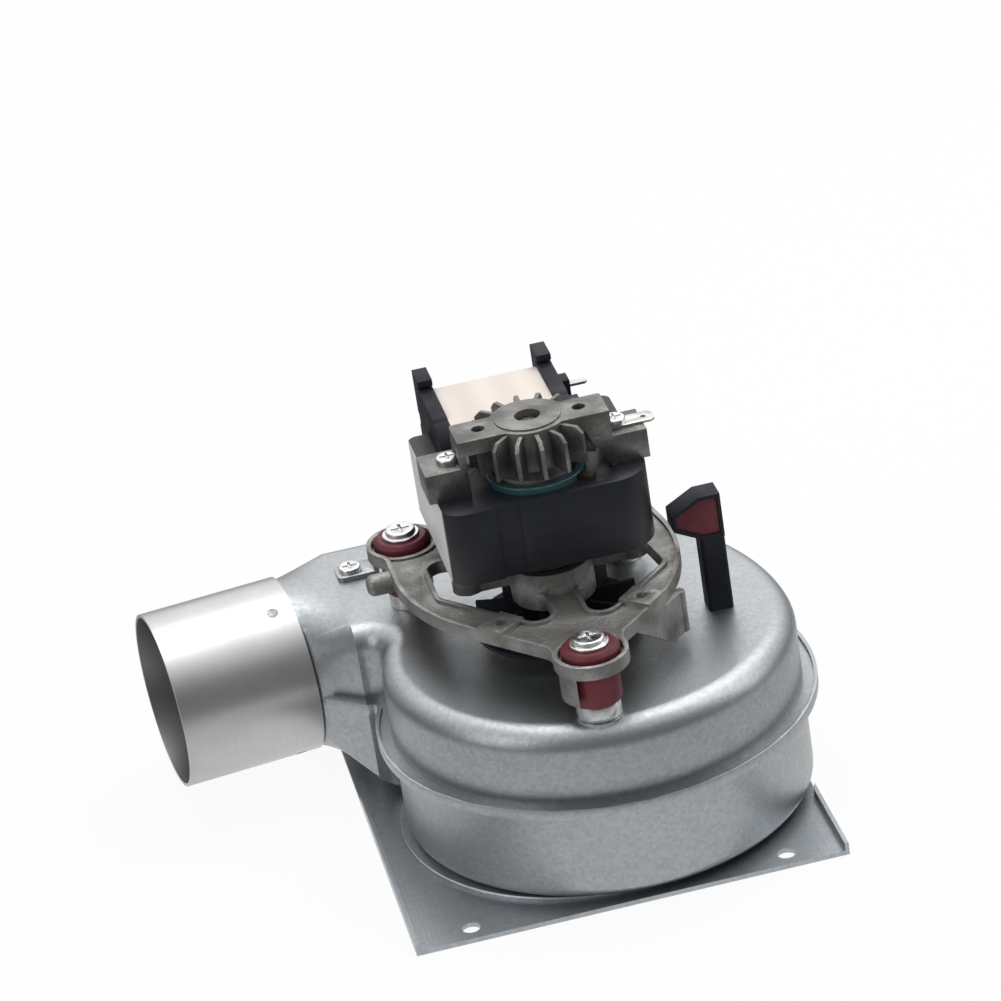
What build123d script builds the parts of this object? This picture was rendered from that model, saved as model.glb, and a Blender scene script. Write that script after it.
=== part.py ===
from build123d import *
from math import atan2, cos, degrees, pi, radians, sin, sqrt
import os

os.makedirs("parts", exist_ok=True)

# Boiler exhaust fan. Origin on the fan axis at the underside of the plate, +Z towards the motor.

# sheet metal
SHEET = 1.0
PLATE_SHEET = 1.5
FIT = 0.1
FACE_GAP = 0.3
BIG = 400.0

# mounting plate
PLATE_HALF_W = 65.0
PLATE_FRONT = 62.0
PLATE_BACK = 97.0
LIP_T = 1.2
LIP_TOP = 4.0
LIP_CLEARANCE = 0.8
FIX_HOLE_R = 2.75
FIX_HOLE_PITCH = 95.0
FIX_HOLE_INSET = 6.0
EMBOSS_R = 57.0
EMBOSS = 1.3
INLET_R = 35.0
INLET_ROLL = 4.0
INLET_NECK = 2.5

# scroll housing
SCROLL_R1 = 62.0
SCROLL_X1 = 7.5
SCROLL_R2 = 90.0
NECK_FRONT = 28.5
NECK_FILLET = 6.0
HOUSING_TOP = 59.0
TOP_FILLET = 7.2
BOTTOM_FILLET = 4.0
SEAM_Z = 34.0
SEAM_FLANGE = 4.5
SEAM_CRIMP = 1.1
SEAM_UPSTAND = 1.1
SEAM_STOP = 4.5
SEAM_TAPER = 0.95
NECK_LEAD = 1.3
NECK_L = 16.0
NECK_RAMP = 0.7
NECK_EDGE = 1.5
BASE_SEAT = 13.0
TOP_OPENING_GAP = 6.0
SEAT_MARGIN = 1.0

# outlet
PIPE_R = 27.5
PIPE_WALL = 1.0
PIPE_L = 43.0
PIPE_SHIFT = 6.25
PIPE_TURN = 7.0
SPIGOT = 9.0
RIVET_R = 1.0
RIVET_HEAD_R = 1.7
RIVET_HEAD_H = 0.6
RIVET_SINK = 0.15
RIVET_INSET = 6.5
RIVET_ANGLES = (25.0, 145.0, 265.0)

# screws between plate and housing
PLATE_SCREW_R = 2.0
PLATE_SCREW_HEAD_R = 3.4
PLATE_SCREW_HEAD_H = 1.2
PLATE_SCREW_INSET = 7.6
PLATE_SCREW_ANGLES = (26.4, 146.4, 266.4)
PLATE_SCREW_TIP = 2.0

# impeller
WHEEL_R = 47.0
BLADE_DEPTH = 8.5
WHEEL_LIFT = 5.2
WHEEL_DROP = 11.0
WHEEL_PLATE = 1.2
BLADE_COUNT = 42
BLADE_T = 0.6
BLADE_LEAD = 8.0
BLADE_BOW = 1.8
HUB_WALL = 2.0
HUB_L = 17.0
HUB_BOSS_WALL = 3.0
HUB_BOSS_H = 1.4
GRUB_R = 2.0
GRUB_DROP = 11.0
GRUB_DEPTH = 1.5

# shaft and bearings
SHAFT_R = 3.0
SHAFT_OUT = 3.0
SHAFT_SINK = 1.5
RUN_FIT = 0.03
BEARING_R = 7.0
BEARING_HALF = 4.0
BEARING_INSET = 1.0
FELT_HALF = 2.6
FELT_WALL = 2.8
RETAINER_T = 0.6
RETAINER_GAP = 1.4
WASHER_W = 2.4
WASHER_T = 1.0

# rotor and stator
STACK_RISE = 11.5
STACK_H = 23.0
STACK_HALF_W = 31.0
STACK_FRONT = -17.5
LEG_D = 13.5
STACK_LEFT_R = 7.0
STACK_RIGHT_R = 11.0
STACK_BACK_R = 3.0
STACK_BORE = 11.5
AIR_GAP = 0.4
END_RING_T = 2.5
END_RING_W = 5.6
LEG_FRONT = 27.0
GROOVE_X = -12.5
GROOVE_W = 7.0
GROOVE_DEPTH = 0.8
SHADE_W = 3.0
SHADE_T = 1.2
SHADE_SPAN = 6.5
SHADE_ANGLES = (-40.0, 140.0)

# coil on the back leg
COIL_X = -4.0
COIL_HALF_W = 16.0
COIL_FRONT = 14.5
COIL_BEHIND = 12.5
COIL_UNDER = 9.5
COIL_OVER = 11.0
COIL_CORNER = 8.0
TAPE_T = 0.6
BOBBIN_WALL = 1.0
FLANGE_T = 4.5
FLANGE_OVER = 1.6
EAR_H = 4.0
EAR_W = 8.0
EAR_ROOT = 4.0
HOOK_W = 2.0
HOOK_RISE = 1.0
HOOK_CAP = 2.0
NOTCH_DROP = 10.0
NOTCH_H = 4.0
TERMINAL_W = 2.8
TERMINAL_T = 0.8
TERMINAL_L = 9.0
TERMINAL_DROP = 6.0
TERMINAL_SPREAD = 8.0

# upper bracket
UPPER_RISE = 18.0
UPPER_HUB_WALL = 1.7
UPPER_HUB_H = 12.5
UPPER_HOLE_GAP = 0.85
DISC_EDGE = 1.7
DISC_H = 0.5
ARM_T = 4.5
ARM_HALF_L = 22.6
ARM_FRONT = -8.0
ARM_BACK = 5.0
ARM_HOLE_R = 2.0
ARM_HOLE_X = 15.0
FIN_COUNT = 16
FIN_OUT = 7.2
FIN_T = 1.2
FIN_H = 11.4
FIN_SINK = 0.7
FIN_DROP = 2.0
FOOT_H = 9.0
FOOT_L = 12.5
LEG_T = 2.1
FOOT_FRONT = -6.5
FOOT_BACK = 8.0
GUSSET_T = 2.2
GUSSET_W = 10.0
GUSSET_STEP = 6.0
GUSSET_DROP = 9.0
GUSSET_TIP = 1.2
RING_TEAL_W = 2.4
RING_TEAL_EDGE = 0.9
RING_TEAL_T = 2.0

# lower bracket
RIM_LEFT = 44.5
RIM_RIGHT = 43.5
RIM_BACK = 42.0
RIM_BACK_RIGHT = 35.0
KNEE_LEFT = -4.0
KNEE_RIGHT = -12.0
RIM_NOSE = 9.0
RIM_FRONT = -47.0
RIM_CORNER = 60.0
RIM_W = 10.5
RIM_RISE = 19.5
RIM_T = 3.0
RIB_H = 1.1
RIB_W = 1.4
SPOKE_W = 10.0
OPENING_CORNER = 4.5
LUG_FILLET = 6.0
LOWER_HUB_WALL = 2.7
LOWER_HUB_GAP = 5.0
LOWER_HUB_H = 11.5
LUG_R = 11.0
LUG_WALL = 1.5
LUG_FLOOR = 1.3
LUG_PROUD = 0.7
LUGS = ((-37.5, 41.0), (0.0, -51.0), (28.0, 40.0))
POST_R = 4.6
BAR_W = 7.0
BAR_H = 4.5
BAR_SINK = 0.5
SKIRT_T = 2.0
SKIRT_GAP = 3.5
SKIRT_FROM = 0.2
SKIRT_TO = 0.72
SKIRT_SLOPE = 18.0
SKIRT_BEAD_R = 1.6
PAD_L = 8.5
PAD_H = 1.9
PAD_HOLE_R = 1.7
PAD_HOLE_DEPTH = 2.4
PAD_LEFT_SHARE = 0.56
PAD_RIGHT_SHARE = 0.45
PAD_BACK_SHARE = 0.5
STUB_R = 3.3
STUB_OUT = 7.5
STUB_ROUND = 2.2
STUB_Y = 25.5
STUB_SINK = 3.5

# buffers
GROMMET_PROUD = 2.4
GROMMET_PLAY = 0.9
GROMMET_BODY_R = 7.4
GROOVE_IN = 1.0
SLEEVE_R = 4.2
SLEEVE_BASE_R = 6.6
SLEEVE_BASE_H = 4.5
HALF_SLEEVE_T = 1.6
HALF_SLEEVE_GAP = 7.0
HALF_SLEEVE_CUT = 6.5
SCREW_R = 2.0
SCREW_WASHER_H = 1.0
SCREW_WASHER_W = 1.15
SCREW_HEAD_R = 5.75
SCREW_HEAD_H = 2.4
NUT_WALL = 1.7
NUT_H = 3.6
SCREW_TIP = 2.0

# motor screws
MOTOR_SCREW_OUT = 2.4
MOTOR_SCREW_Y = 0.5
MOTOR_SCREW_R = 2.0
MOTOR_HEAD_R = 3.4
MOTOR_HEAD_H = 2.0

# earth tab on the right foot
TAB_W = 6.3
TAB_T = 0.8
TAB_OUT = 3.6
TAB_HOLE_R = 0.8
TAB_HOLE_INSET = 3.0

# motor cooling disc
COOLER_R = 25.0
COOLER_LIFT = 5.0
COOLER_T = 1.2
COOLER_HUB_WALL = 3.5
COOLER_HUB_H = 8.0
COOLER_BLADES = 9
COOLER_BLADE_H = 7.5

# tapping post
POST_GAP = 0.4
POST_Y = -4.0
POST_W = 7.5
POST_D = 8.0
POST_H = 38.0
POST_HEAD_H = 14.0
POST_HEAD_W = 15.0
POST_HEAD_TOP_W = 6.5
POST_HEAD_DROP = 4.5
POST_HEAD_LIFT = 4.5
POST_WALL = 1.1
POST_BORE = 2.0
POST_SEAT = 2.5
PLUG_SINK = 0.8
NUB_R = 1.8
NUB_L = 2.6

# clip near the left lug
CLIP_X = -52.0
CLIP_INSET = 23.0
CLIP_L = 13.0
CLIP_W = 9.0
CLIP_T = 1.5
CLIP_H = 6.0
CLIP_SCREW_R = 1.5
CLIP_HEAD_R = 3.5
CLIP_HEAD_H = 1.6

# places that follow from the sizes above: each piece is set on what carries it
SCROLL_X2 = SCROLL_X1 + SCROLL_R1 - SCROLL_R2
BASE_Z = PLATE_SHEET + EMBOSS
NECK_TURN_Y = NECK_FRONT - NECK_FILLET
NECK_TURN_X = SCROLL_X1 - sqrt((SCROLL_R1 + NECK_FILLET) ** 2 - NECK_TURN_Y ** 2)
RAMP_START = NECK_TURN_X + NECK_FILLET
BODY_END = NECK_TURN_X - NECK_LEAD
PIPE_START = BODY_END - NECK_L
PIPE_MOUTH = PIPE_START - PIPE_L
SEAM_END = PIPE_START + SEAM_STOP
SPIGOT_R = PIPE_R - PIPE_WALL - FIT
PIPE_Y = (NECK_FRONT + SCROLL_R2) / 2 + PIPE_SHIFT
RIVET_X = PIPE_START - RIVET_INSET
PLATE_SCREW_CIRCLE = EMBOSS_R - PLATE_SCREW_INSET
BASE_OPENING_R = EMBOSS_R - BASE_SEAT
TOP_OPENING_R = SHAFT_R + TOP_OPENING_GAP
POCKET_R = BEARING_R + FELT_WALL
FELT_R = POCKET_R - 2 * FIT
RETAINER_BORE = SHAFT_R + RETAINER_GAP
WASHER_R = SHAFT_R + WASHER_W
RIM_TOP = HOUSING_TOP + RIM_RISE
LUG_TOP = RIM_TOP + LUG_PROUD
LUG_BOTTOM = RIM_TOP - RIM_T
LUG_BORE = LUG_R - LUG_WALL
LUG_HOLE = GROMMET_BODY_R - GROOVE_IN
STUB_Z = RIM_TOP - STUB_SINK
SKIRT_BOTTOM = HOUSING_TOP + SKIRT_GAP
HALF_SLEEVE_BOTTOM = HOUSING_TOP + HALF_SLEEVE_GAP
STACK_BOTTOM = RIM_TOP + STACK_RISE
STACK_TOP = STACK_BOTTOM + STACK_H
STACK_MID = (STACK_BOTTOM + STACK_TOP) / 2
STACK_BACK = LEG_FRONT + LEG_D
ROTOR_R = STACK_BORE - AIR_GAP
END_RING_BORE = ROTOR_R - END_RING_W
RING_TEAL_BORE = STACK_BORE + RING_TEAL_EDGE
RING_TEAL_R = RING_TEAL_BORE + RING_TEAL_W
COIL_BACK = STACK_BACK + COIL_BEHIND
COIL_BOTTOM = STACK_BOTTOM - COIL_UNDER
COIL_TOP = STACK_TOP + COIL_OVER
EAR_TOP = COIL_TOP + EAR_H
WINDOW_FRONT = COIL_FRONT - FACE_GAP
WINDOW_HALF_W = COIL_HALF_W + FLANGE_T + FACE_GAP
UPPER_TOP = STACK_TOP + UPPER_RISE
UPPER_HUB_R = POCKET_R + UPPER_HUB_WALL
UPPER_HUB_BOTTOM = UPPER_TOP - UPPER_HUB_H
UPPER_HOLE_R = SHAFT_R + UPPER_HOLE_GAP
DISC_R = UPPER_HUB_R - DISC_EDGE
FIN_R = UPPER_HUB_R + FIN_OUT
FIN_TOP = UPPER_TOP - FIN_SINK
FIN_BOTTOM = FIN_TOP - FIN_H
FOOT_TOP = STACK_TOP + FOOT_H
FOOT_IN = ARM_HALF_L - LEG_T
FOOT_OUT = FOOT_IN + FOOT_L
MOTOR_SCREW_X = ARM_HALF_L + MOTOR_SCREW_OUT
TAB_END = FOOT_OUT + TAB_OUT
LOWER_HUB_R = POCKET_R + LOWER_HUB_WALL
LOWER_HUB_TOP = STACK_BOTTOM - LOWER_HUB_GAP
LOWER_HUB_BOTTOM = LOWER_HUB_TOP - LOWER_HUB_H
BAR_TOP = LOWER_HUB_TOP - BAR_SINK
BAR_BOTTOM = BAR_TOP - BAR_H
LOWER_BEARING_Z = LOWER_HUB_TOP - BEARING_INSET - BEARING_HALF
LOWER_FLOOR = LOWER_BEARING_Z - BEARING_HALF
UPPER_BEARING_Z = UPPER_HUB_BOTTOM + BEARING_INSET + BEARING_HALF
UPPER_CEILING = UPPER_BEARING_Z + BEARING_HALF
WHEEL_BOTTOM = BASE_Z + WHEEL_LIFT
WHEEL_TOP = HOUSING_TOP - WHEEL_DROP
WHEEL_INNER_R = WHEEL_R - BLADE_DEPTH
HUB_BOSS_R = SHAFT_R + HUB_BOSS_WALL
HUB_R = HUB_BOSS_R + HUB_WALL
HUB_BOTTOM = WHEEL_TOP - HUB_L
GRUB_Z = WHEEL_TOP - GRUB_DROP
SHAFT_BOTTOM = HUB_BOTTOM - SHAFT_OUT
SHAFT_TOP = UPPER_TOP - SHAFT_SINK
GROMMET_TOP = LUG_TOP + GROMMET_PROUD
GROMMET_COLLAR_R = LUG_BORE - GROMMET_PLAY
SCREW_CAP_R = SCREW_HEAD_R - SCREW_WASHER_W
NUT_R = SCREW_R + NUT_WALL
COOLER_Z = HOUSING_TOP + COOLER_LIFT
COOLER_HUB_R = SHAFT_R + COOLER_HUB_WALL
COOLER_HUB_TOP = COOLER_Z + COOLER_HUB_H
COOLER_BLADE_TOP = COOLER_Z + COOLER_BLADE_H
CLIP_Y = SCROLL_R2 - CLIP_INSET
POST_X = RIM_RIGHT + POST_GAP + POST_W / 2
POST_TOP = HOUSING_TOP + POST_H
POST_HEAD = POST_TOP - POST_HEAD_H


def cyl(r, z0, z1, x=0.0, y=0.0):
    """Upright cylinder from z0 to z1."""
    return Pos(x, y, (z0 + z1) / 2) * Cylinder(r, z1 - z0)


def tube(r, bore, z0, z1, x=0.0, y=0.0):
    """Upright ring from z0 to z1."""
    return cyl(r, z0, z1, x, y) - cyl(bore, z0 - 1, z1 + 1, x, y)


def block(x0, x1, y0, y1, z0, z1):
    """Box given by its six faces."""
    return Pos((x0 + x1) / 2, (y0 + y1) / 2, (z0 + z1) / 2) * Box(x1 - x0, y1 - y0, z1 - z0)


def slab(face, z0, z1):
    """Flat outline raised from z0 to z1."""
    return Pos(0, 0, z0) * extrude(face, z1 - z0)


def turned(points, x=0.0, y=0.0):
    """Solid of revolution about +Z from (radius, height) points."""
    profile = Plane.XZ * make_face(Polyline(*points, close=True))
    return Pos(x, y, 0) * revolve(profile, Axis.Z)


def around(angles, shape):
    """The same shape at several angles about the fan axis."""
    return [Rot(0, 0, a) * shape for a in angles]


def pin_x(r, x0, x1, y, z):
    """Cylinder along X."""
    return Pos((x0 + x1) / 2, y, z) * Rot(0, 90, 0) * Cylinder(r, abs(x1 - x0))


def cross_recess(x, y, reach, z):
    """Cross slot for a driver, cut down to z."""
    thin = reach / 6
    long_way = block(x - reach, x + reach, y - thin, y + thin, z, z + BIG)
    return long_way + block(x - thin, x + thin, y - reach, y + reach, z, z + BIG)


def save(name, *solids):
    """One STEP file per node; a group keeps its separate solids."""
    shape = solids[0] if len(solids) == 1 else Compound(children=list(solids))
    shape.label = name
    export_step(shape, f"parts/{name}.step")


def scroll_outline(d, x_end):
    """Plan outline of the scroll and its neck, d outside the wall, cut off at x_end."""
    r1 = SCROLL_R1 + d
    r2 = SCROLL_R2 + d
    neck = NECK_FRONT - d
    corner = SCROLL_X1 - sqrt(r1 ** 2 - neck ** 2)
    right = SCROLL_X2 + r2
    diag = r2 * sqrt(0.5)
    edges = [
        Line((x_end, r2), (SCROLL_X2, r2)),
        ThreePointArc((SCROLL_X2, r2), (SCROLL_X2 + diag, diag), (right, 0)),
        ThreePointArc((right, 0), (SCROLL_X1, -r1), (corner, neck)),
        Line((corner, neck), (x_end, neck)),
        Line((x_end, neck), (x_end, r2)),
    ]
    face = make_face(edges)
    inner = face.vertices().sort_by_distance((corner, neck, 0))[0]
    return fillet(inner, NECK_FILLET - d)


def neck_rectangle(d):
    """Cross section of the neck where it leaves the scroll: eight edges, two corner radii."""
    y0, y1 = NECK_FRONT - d, SCROLL_R2 + d
    z0, z1 = ramp_height(BODY_END, d), HOUSING_TOP + d
    low, top = NECK_EDGE, TOP_FILLET + d
    corners = [
        (y1, z1, -top, -top, top), (y0, z1, top, -top, top),
        (y0, z0, low, low, low), (y1, z0, -low, low, low),
    ]
    ends = []
    for y, z, dy, dz, r in corners:
        side = (y, z + dz)
        flat = (y + dy, z)
        mid = (y + dy - dy * sqrt(0.5), z + dz - dz * sqrt(0.5))
        ends.append((side, mid, flat) if (dy < 0) == (dz < 0) else (flat, mid, side))
    return ends


def ramp_height(x, d):
    """Height of the neck's sloping underside at x, d outside the sheet's outer face."""
    return BASE_Z - d * sqrt(1 + NECK_RAMP ** 2) + NECK_RAMP * (RAMP_START - x)


def neck_ramp(d):
    """Space under the neck's sloping underside, clear of the scroll's own wall."""
    x0, x1 = RAMP_START + NECK_FILLET / 2, BODY_END - 1
    outline = Polyline((x0, ramp_height(x0, d)), (x1, ramp_height(x1, d)), (x1, -BIG), (x0, -BIG), close=True)
    return Pos(0, BIG, 0) * extrude(Plane.XZ * make_face(outline), BIG - NECK_TURN_Y)


def section_face(ends, x):
    """Face across X from four corner arcs joined by four more edges."""
    edges = []
    for i, (start, mid, end) in enumerate(ends):
        edges.append(ThreePointArc(start, mid, end))
        after = ends[(i + 1) % 4][0]
        edges.append(Line(end, after))
    return Plane(origin=(x, 0, 0), x_dir=(0, 1, 0), z_dir=(1, 0, 0)) * make_face(edges)


def along_pipe(shape):
    """Turn a shape made along X about the pipe's start, its mouth towards the front."""
    return Pos(PIPE_START, PIPE_Y, 0) * Rot(0, 0, PIPE_TURN) * Pos(-PIPE_START, -PIPE_Y, 0) * shape


def round_face(ends, r, x):
    """Circle across X split at the directions of the same eight corners."""
    points = [p for start, _, end in ends for p in (start, end)]
    angles = [atan2(z - SEAM_Z, y - PIPE_Y) for y, z in points]
    edges = []
    for i in range(8):
        a = angles[i]
        b = angles[(i + 1) % 8]
        while b < a:
            b += 2 * pi
        spots = [(PIPE_Y + r * cos(t), SEAM_Z + r * sin(t)) for t in (a, (a + b) / 2, b)]
        edges.append(ThreePointArc(*spots))
    return Plane(origin=(x, 0, 0), x_dir=(0, 1, 0), z_dir=(1, 0, 0)) * make_face(edges)


def housing(d):
    """Whole scroll with neck and spigot as a solid, d outside the sheet's outer face."""
    body = slab(scroll_outline(d, BODY_END), BASE_Z - d, HOUSING_TOP + d)
    rim = body.edges().filter_by(lambda e: e.center().X > BODY_END + 0.5)
    top = rim.filter_by(lambda e: abs(e.bounding_box().min.Z - HOUSING_TOP - d) < 0.01)
    body = fillet(top, TOP_FILLET + d)
    rim = body.edges().filter_by(lambda e: e.center().X > BODY_END + 0.5)
    low = rim.filter_by(lambda e: abs(e.bounding_box().max.Z - BASE_Z + d) < 0.01)
    body = fillet(low, BOTTOM_FILLET + d) - neck_ramp(d)
    ends = neck_rectangle(d)
    r = SPIGOT_R + d
    neck = loft([section_face(ends, BODY_END), along_pipe(round_face(ends, r, PIPE_START))], ruled=True)
    spigot = pin_x(r, PIPE_START - SPIGOT + min(d, 0), PIPE_START, PIPE_Y, SEAM_Z)
    return body + neck + along_pipe(spigot)


OUTER = housing(0)
CAVITY = housing(-SHEET)
BELOW = block(-BIG, BIG, -BIG, BIG, -BIG, SEAM_Z)
ABOVE = block(-BIG, BIG, -BIG, BIG, SEAM_Z, BIG)


def plate_screw_spots():
    return [(PLATE_SCREW_CIRCLE * cos(radians(a)), PLATE_SCREW_CIRCLE * sin(radians(a)))
            for a in PLATE_SCREW_ANGLES]


def mounting_plate():
    """Square sheet with turned-up side edges, pressed ring and rolled inlet."""
    plate = block(-PLATE_HALF_W, PLATE_HALF_W, -PLATE_FRONT, PLATE_BACK, 0, PLATE_SHEET)
    for side in (-1, 1):
        x = sorted((side * PLATE_HALF_W, side * (PLATE_HALF_W - LIP_T)))
        plate += block(*x, -PLATE_FRONT, PLATE_BACK, 0, LIP_TOP)
    passing = scroll_outline(LIP_CLEARANCE, SEAM_END)
    plate -= slab(passing, PLATE_SHEET, LIP_TOP + 1)
    ring = cyl(EMBOSS_R, 0, BASE_Z)
    ring = fillet(ring.edges().sort_by(Axis.Z)[-1], EMBOSS / 2)
    plate = plate + ring - cyl(EMBOSS_R - PLATE_SHEET, -1, EMBOSS)
    plate -= cyl(INLET_R + INLET_ROLL, -1, BASE_Z + 1)
    plate += inlet_roll()
    for side in (-1, 1):
        x = side * FIX_HOLE_PITCH / 2
        plate -= cyl(FIX_HOLE_R, -1, PLATE_SHEET + 1, x, FIX_HOLE_INSET - PLATE_FRONT)
    for x, y in plate_screw_spots():
        plate -= cyl(PLATE_SCREW_R + FIT, -1, BASE_Z + 1, x, y)
    return plate


def inlet_roll():
    """Inlet edge rolled inwards into the wheel's eye."""
    r = INLET_R + INLET_ROLL
    bend = EMBOSS + INLET_ROLL
    tip = bend + INLET_NECK
    small = INLET_ROLL - PLATE_SHEET
    k = sqrt(0.5)
    edges = [
        ThreePointArc((r, EMBOSS), (r - INLET_ROLL * k, bend - INLET_ROLL * k), (INLET_R, bend)),
        Line((INLET_R, bend), (INLET_R, tip)),
        Line((INLET_R, tip), (INLET_R + PLATE_SHEET, tip)),
        Line((INLET_R + PLATE_SHEET, tip), (INLET_R + PLATE_SHEET, bend)),
        ThreePointArc((INLET_R + PLATE_SHEET, bend), (r - small * k, bend - small * k), (r, BASE_Z)),
        Line((r, BASE_Z), (r, EMBOSS)),
    ]
    return revolve(Plane.XZ * make_face(edges), Axis.Z)


def seam_outline(d, x_end):
    """Plan of the seam flange: round the scroll, then tapering along the neck to x_end."""
    reach = SPIGOT_R + SEAM_TAPER * d
    taper = Polyline((BODY_END, NECK_FRONT - d), (BODY_END, SCROLL_R2 + d), (x_end, PIPE_Y + reach),
                     (x_end, PIPE_Y - reach), close=True)
    return scroll_outline(d, BODY_END) + make_face(taper)


def lower_shell():
    """Lower housing half with the seam flange and its crimped edge."""
    seam = seam_outline(SEAM_FLANGE, SEAM_END)
    shell = OUTER & BELOW
    shell += slab(seam, SEAM_Z - SHEET, SEAM_Z)
    crimp = slab(seam, SEAM_Z - SHEET, SEAM_Z + SHEET + SEAM_UPSTAND)
    crimp -= slab(seam_outline(SEAM_FLANGE - SEAM_CRIMP, SEAM_END - 1), SEAM_Z - BIG, BIG)
    shell = shell + crimp - CAVITY
    shell -= cyl(BASE_OPENING_R, 0, BASE_Z + SHEET + 1)
    for x, y in plate_screw_spots():
        shell -= cyl(PLATE_SCREW_R + FIT, 0, BASE_Z + SHEET + 1, x, y)
    for cut in rivet_bores():
        shell -= cut
    return shell


def upper_shell():
    """Upper housing half with the motor seats and the shaft opening."""
    inner_edge = SEAM_FLANGE - SEAM_CRIMP - FIT
    shell = OUTER & ABOVE
    shell += slab(seam_outline(inner_edge, SEAM_END), SEAM_Z, SEAM_Z + SHEET)
    for x, y in LUGS:
        seat = SLEEVE_BASE_R + SEAT_MARGIN
        shell += cyl(seat, HOUSING_TOP - TOP_FILLET / 2, HOUSING_TOP, x, y)
    shell -= CAVITY
    shell -= cyl(TOP_OPENING_R, HOUSING_TOP - 3, HOUSING_TOP + 1)
    for x, y in LUGS:
        shell -= cyl(SCREW_R + FACE_GAP, HOUSING_TOP - 3, HOUSING_TOP + 1, x, y)
    shell -= cyl(POST_BORE, HOUSING_TOP - 3, HOUSING_TOP + 1, POST_X, POST_Y)
    shell -= cyl(CLIP_SCREW_R + FIT, HOUSING_TOP - 3, HOUSING_TOP + 1, CLIP_X, CLIP_Y)
    for cut in rivet_bores():
        shell -= cut
    return shell


def rivet_turn(angle, shape):
    """Turn a shape that stands on the pipe's top to another angle about the pipe."""
    return along_pipe(Pos(0, PIPE_Y, SEAM_Z) * Rot(angle, 0, 0) * Pos(RIVET_X, 0, 0) * shape)


def rivet_form(grow, top):
    """Countersunk rivet standing on the pipe's axis, grown by grow, its head ending at top."""
    shank = cyl(RIVET_R + grow, SPIGOT_R - SHEET, PIPE_R - RIVET_SINK)
    head = PIPE_R - RIVET_SINK
    cone = Pos(0, 0, head - RIVET_HEAD_H / 2) * Cone(RIVET_R + grow, RIVET_HEAD_R + grow, RIVET_HEAD_H)
    form = shank + cone
    return form + cyl(RIVET_HEAD_R + grow, head, top) if top > head else form


def rivet_bores():
    bore = rivet_form(FIT / 2, PIPE_R + 1)
    through = cyl(RIVET_R + FIT / 2, PIPE_R - PIPE_WALL - 2 * SHEET, PIPE_R)
    return [rivet_turn(a, bore + through) for a in RIVET_ANGLES]


def outlet_pipe():
    """Flue pipe slid over the neck, with holes for its rivets."""
    pipe = pin_x(PIPE_R, PIPE_MOUTH, PIPE_START, PIPE_Y, SEAM_Z)
    pipe -= pin_x(PIPE_R - PIPE_WALL, PIPE_MOUTH - 1, PIPE_START + 1, PIPE_Y, SEAM_Z)
    pipe = along_pipe(pipe)
    for cut in rivet_bores():
        pipe -= cut
    return pipe


def pipe_rivets():
    """Countersunk rivets through pipe and neck, a little below the pipe's face."""
    rivet = rivet_form(0, 0)
    return [rivet_turn(a, rivet) for a in RIVET_ANGLES]


def plate_screws():
    """Pan-head screws from below, heads inside the pressed ring."""
    solids = []
    for x, y in plate_screw_spots():
        head = cyl(PLATE_SCREW_HEAD_R, EMBOSS - PLATE_SCREW_HEAD_H, EMBOSS, x, y)
        head = chamfer(head.edges().sort_by(Axis.Z)[0], 0.5)
        head -= block(x - 0.4, x + 0.4, y - 2, y + 2, 0, EMBOSS - PLATE_SCREW_HEAD_H / 2)
        tip = BASE_Z + SHEET + PLATE_SCREW_TIP
        solids.append(head + cyl(PLATE_SCREW_R, EMBOSS, tip, x, y))
    return solids


def blade_face():
    """One forward-curved blade: two arcs, the tip leading the turn."""
    def spot(r, degs):
        return (r * cos(radians(degs)), r * sin(radians(degs)))
    r0 = WHEEL_INNER_R + FACE_GAP
    r1 = WHEEL_R - FACE_GAP
    rm = (r0 + r1) / 2
    turn = degrees(BLADE_T / rm)
    bow = BLADE_LEAD / 2 - degrees(BLADE_BOW / rm)
    edges = [
        ThreePointArc(spot(r0, 0), spot(rm, bow), spot(r1, BLADE_LEAD)),
        Line(spot(r1, BLADE_LEAD), spot(r1, BLADE_LEAD + turn)),
        ThreePointArc(spot(r1, BLADE_LEAD + turn), spot(rm, bow + turn), spot(r0, turn)),
        Line(spot(r0, turn), spot(r0, 0)),
    ]
    return make_face(edges)


def impeller_blades():
    blade = slab(blade_face(), WHEEL_BOTTOM + WHEEL_PLATE, WHEEL_TOP - WHEEL_PLATE)
    return around([360 / BLADE_COUNT * i for i in range(BLADE_COUNT)], blade)


def impeller_disc():
    return tube(WHEEL_R, HUB_BOSS_R + FIT, WHEEL_TOP - WHEEL_PLATE, WHEEL_TOP)


def impeller_ring():
    return tube(WHEEL_R, WHEEL_INNER_R, WHEEL_BOTTOM, WHEEL_BOTTOM + WHEEL_PLATE)


def impeller_hub():
    """Hub under the wheel's disc, its boss riveted through the disc."""
    hub = cyl(HUB_R, HUB_BOTTOM, WHEEL_TOP - WHEEL_PLATE)
    hub = chamfer(hub.edges().sort_by(Axis.Z)[0], 0.6)
    hub += cyl(HUB_BOSS_R, WHEEL_TOP - WHEEL_PLATE, WHEEL_TOP)
    hub += cyl(HUB_BOSS_R + 1, WHEEL_TOP, WHEEL_TOP + HUB_BOSS_H)
    hub -= cyl(SHAFT_R + RUN_FIT, HUB_BOTTOM - 1, WHEEL_TOP + HUB_BOSS_H + 1)
    return hub - pin_x(GRUB_R + FIT / 2, 0, HUB_R + 1, 0, GRUB_Z)


def hub_grub_screw():
    """Socket set screw that bears on the shaft."""
    screw = pin_x(GRUB_R, SHAFT_R - 1, HUB_R - GRUB_DEPTH / 3, 0, GRUB_Z)
    screw -= cyl(SHAFT_R + RUN_FIT, GRUB_Z - 5, GRUB_Z + 5)
    socket = Rot(0, 90, 0) * extrude(RegularPolygon(1.0, 6), GRUB_DEPTH)
    return screw - Pos(HUB_R - GRUB_DEPTH, 0, GRUB_Z) * socket


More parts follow.
